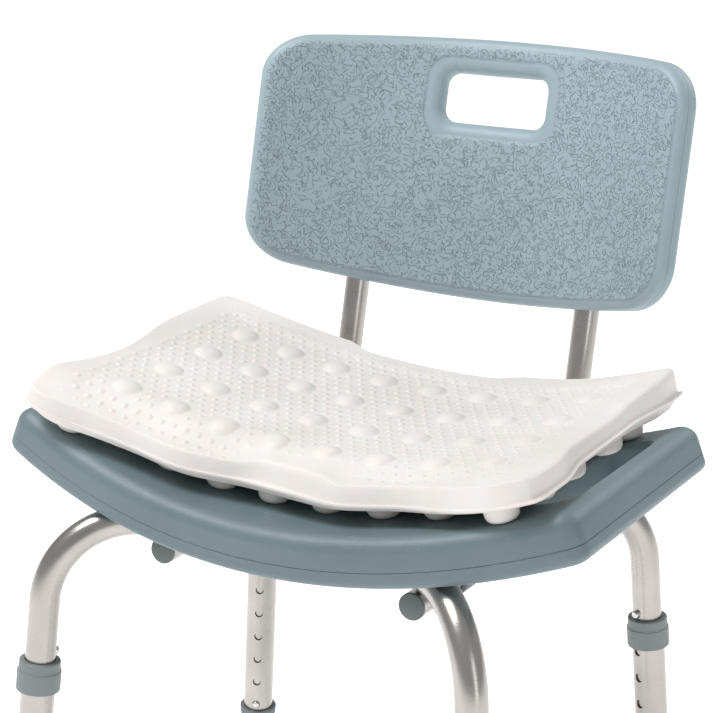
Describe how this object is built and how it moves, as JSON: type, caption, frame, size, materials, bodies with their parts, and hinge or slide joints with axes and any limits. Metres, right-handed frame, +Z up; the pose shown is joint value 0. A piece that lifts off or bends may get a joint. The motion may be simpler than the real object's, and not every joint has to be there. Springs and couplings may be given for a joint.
{
  "type": "shower chair",
  "caption": "Shower chair with a curved moulded seat, removable bowed backrest, crossed aluminium leg frames with height-adjustable legs, and a loose foam seat pad.",
  "frame": {"origin": "on the floor, midway across the chair and midway between the front tips and the rearmost point of the backrest", "axes": "+Z up; +Y from the seat's front edge towards the backrest; +X to the right seen from the front"},
  "size_m": [0.5224, 0.4889, 0.7078],
  "materials": {
    "seat_plastic": "satin",
    "back_plastic": "satin",
    "satin_aluminium": "satin",
    "grey_plastic": "satin",
    "grey_rubber": "matte",
    "steel": "satin",
    "pad_foam": "matte"
  },
  "bodies": {
    "chair": {"seat": "seat_plastic", "leg_frame_upper": "satin_aluminium", "leg_frame_lower": "satin_aluminium", "middle_bolt": "steel", "frame_screw_fl": "steel", "frame_screw_fr": "steel", "frame_screw_bl": "steel", "frame_screw_br": "steel", "guide_front_left": "grey_plastic", "guide_front_right": "grey_plastic", "guide_rear_left": "grey_plastic", "guide_rear_right": "grey_plastic", "guide_screw_front_left_a": "steel", "guide_screw_front_left_b": "steel", "guide_screw_front_right_a": "steel", "guide_screw_front_right_b": "steel", "guide_screw_rear_left_a": "steel", "guide_screw_rear_left_b": "steel", "guide_screw_rear_right_a": "steel", "guide_screw_rear_right_b": "steel", "stop_rivet_fl": "steel", "stop_rivet_fr": "steel", "stop_rivet_bl": "steel", "stop_rivet_br": "steel", "lock_spring_fl": "steel", "lock_spring_fr": "steel", "lock_spring_bl": "steel", "lock_spring_br": "steel"},
    "leg_fl": {"leg_extension_fl": "satin_aluminium", "collar_fl": "grey_plastic", "foot_tip_fl": "grey_rubber"},
    "button_fl": {"lock_button_fl": "steel"},
    "leg_fr": {"leg_extension_fr": "satin_aluminium", "collar_fr": "grey_plastic", "foot_tip_fr": "grey_rubber"},
    "button_fr": {"lock_button_fr": "steel"},
    "leg_bl": {"leg_extension_bl": "satin_aluminium", "collar_bl": "grey_plastic", "foot_tip_bl": "grey_rubber"},
    "button_bl": {"lock_button_bl": "steel"},
    "leg_br": {"leg_extension_br": "satin_aluminium", "collar_br": "grey_plastic", "foot_tip_br": "grey_rubber"},
    "button_br": {"lock_button_br": "steel"},
    "backrest": {"back_panel": "back_plastic", "back_tube_left": "satin_aluminium", "back_tube_right": "satin_aluminium", "back_plug_left": "grey_plastic", "back_plug_right": "grey_plastic", "back_screw_left": "steel", "back_screw_right": "steel"},
    "loose_pad": {"pad": "pad_foam"}
  },
  "joints": [
    {"name": "leg_fl_height", "type": "slide", "parent": "chair", "child": "leg_fl", "axis": [-0.0719, -0.0633, -0.9954], "range_m": [0, 0.1524]},
    {"name": "lock_fl_press", "type": "slide", "parent": "chair", "child": "button_fl", "axis": [-0.3698, -0.9252, 0.0856], "range_m": [0, 0.0042], "stiffness_N_per_m": 300, "springref_m": -0.004, "deforming": ["lock_spring_fl"]},
    {"name": "leg_fr_height", "type": "slide", "parent": "chair", "child": "leg_fr", "axis": [0.0719, -0.0633, -0.9954], "range_m": [0, 0.1524]},
    {"name": "lock_fr_press", "type": "slide", "parent": "chair", "child": "button_fr", "axis": [0.3698, -0.9252, 0.0856], "range_m": [0, 0.0042], "stiffness_N_per_m": 300, "springref_m": -0.004, "deforming": ["lock_spring_fr"]},
    {"name": "leg_bl_height", "type": "slide", "parent": "chair", "child": "leg_bl", "axis": [-0.0719, 0.0633, -0.9954], "range_m": [0, 0.1524]},
    {"name": "lock_bl_press", "type": "slide", "parent": "chair", "child": "button_bl", "axis": [-0.3698, 0.9252, 0.0856], "range_m": [0, 0.0042], "stiffness_N_per_m": 300, "springref_m": -0.004, "deforming": ["lock_spring_bl"]},
    {"name": "leg_br_height", "type": "slide", "parent": "chair", "child": "leg_br", "axis": [0.0719, 0.0633, -0.9954], "range_m": [0, 0.1524]},
    {"name": "lock_br_press", "type": "slide", "parent": "chair", "child": "button_br", "axis": [0.3698, 0.9252, 0.0856], "range_m": [0, 0.0042], "stiffness_N_per_m": 300, "springref_m": -0.004, "deforming": ["lock_spring_br"]},
    {"name": "backrest_slide", "type": "slide", "parent": "chair", "child": "backrest", "axis": [0, 1, 0], "range_m": [0, 0.2]},
    {"name": "pad_lift", "type": "slide", "parent": "chair", "child": "loose_pad", "axis": [0, -0.5, 0.866], "range_m": [0, 0.25]}
  ]
}
